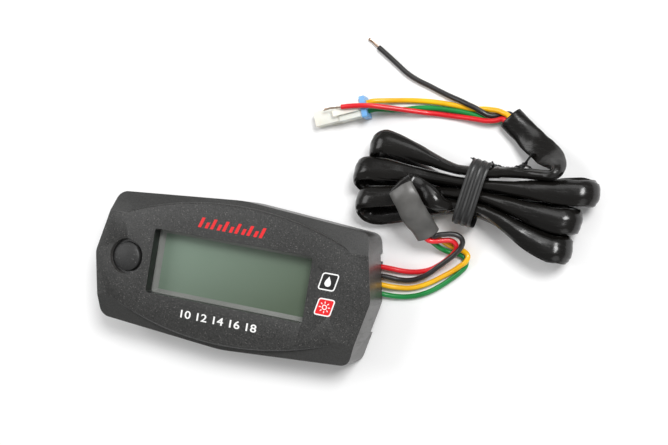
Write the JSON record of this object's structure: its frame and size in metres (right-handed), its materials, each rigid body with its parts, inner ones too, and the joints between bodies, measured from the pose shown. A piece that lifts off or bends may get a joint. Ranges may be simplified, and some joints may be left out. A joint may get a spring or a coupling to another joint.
{
  "type": "air fuel ratio gauge",
  "caption": "Flat charcoal air fuel ratio gauge with a window, a push button and a wire lead stored as a tied hank with a small plug on its end",
  "frame": {"origin": "on the surface that the gauge lies on, under the middle of its housing", "axes": "X runs along the housing from the button's end to the lead's end, Y runs up the face, Z points out of the face"},
  "size_m": [0.1416, 0.097, 0.0173],
  "materials": {
    "case": "satin charcoal with fine bright flecks",
    "cover": "dark moulded plastic",
    "clear_window": "clear",
    "display_frame": "light grey moulding",
    "display_glass": "grey green display glass, blank",
    "diffuser": "milky white",
    "lamp": "milky lens",
    "contact_rubber": "striped contact rubber",
    "board": "green board",
    "chip": "black moulded package",
    "capacitor_can": "plain can",
    "button": "satin dark rubbery cap",
    "switch_case": "moulded",
    "switch_plunger": "moulded",
    "seal": "soft black",
    "screw": "plated",
    "pad": "white foam tape with adhesive on both faces",
    "white_label": "printed",
    "red_label": "printed",
    "copper": "bare copper",
    "solder": "bright solder",
    "red_wire": "satin insulation",
    "black_wire": "satin insulation",
    "yellow_wire": "satin insulation",
    "green_wire": "satin insulation",
    "sheath": "glossy soft tube",
    "tie": "plastic covered wire ribbon",
    "plug_body": "off-white nylon",
    "plug_lock": "light blue nylon",
    "terminal": "tinned brass"
  },
  "bodies": {
    "housing": {"front_bezel": "case", "rear_cover": "cover", "window_lens": "clear_window", "display_frame": "display_frame", "display_front_glass": "display_glass", "display_rear_glass": "display_glass", "backlight_diffuser": "diffuser", "backlight_lamps": "lamp", "contact_strips": "contact_rubber", "circuit_board": "board", "micro_chip": "chip", "voltage_regulator": "chip", "smoothing_capacitor": "capacitor_can", "switch_body": "switch_case", "case_seal": "seal", "case_screws": "screw", "adhesive_pad": "pad", "upper_label": "white_label", "lower_label": "red_label", "wire_grommet": "seal", "inner_leads": "copper", "solder_joints": "solder", "near_wire_red": "red_wire", "near_wire_black": "black_wire", "near_wire_yellow": "yellow_wire", "near_wire_green": "green_wire", "sheath_near_tail": "sheath", "sheath_hank": "sheath", "sheath_far_tail": "sheath", "twist_tie": "tie", "far_wire_red": "red_wire", "far_wire_black": "black_wire", "far_wire_yellow": "yellow_wire", "far_wire_green": "green_wire", "red_strands": "copper", "black_strands": "copper", "plug_housing": "plug_body", "plug_lock": "plug_lock", "plug_terminals": "terminal"},
    "button": {"button_cap": "button"},
    "plunger": {"switch_plunger": "switch_plunger"}
  },
  "joints": [
    {"name": "button_press", "type": "slide", "parent": "housing", "child": "button", "axis": [0, 0, -1], "range_m": [0, 0.0005], "stiffness_N_per_m": 400},
    {"name": "plunger_press", "type": "slide", "parent": "housing", "child": "plunger", "axis": [0, 0, -1], "range_m": [0, 0.0005]}
  ],
  "couplings": [
    {"joint": "plunger_press", "follows": "button_press", "ratio": 1}
  ]
}
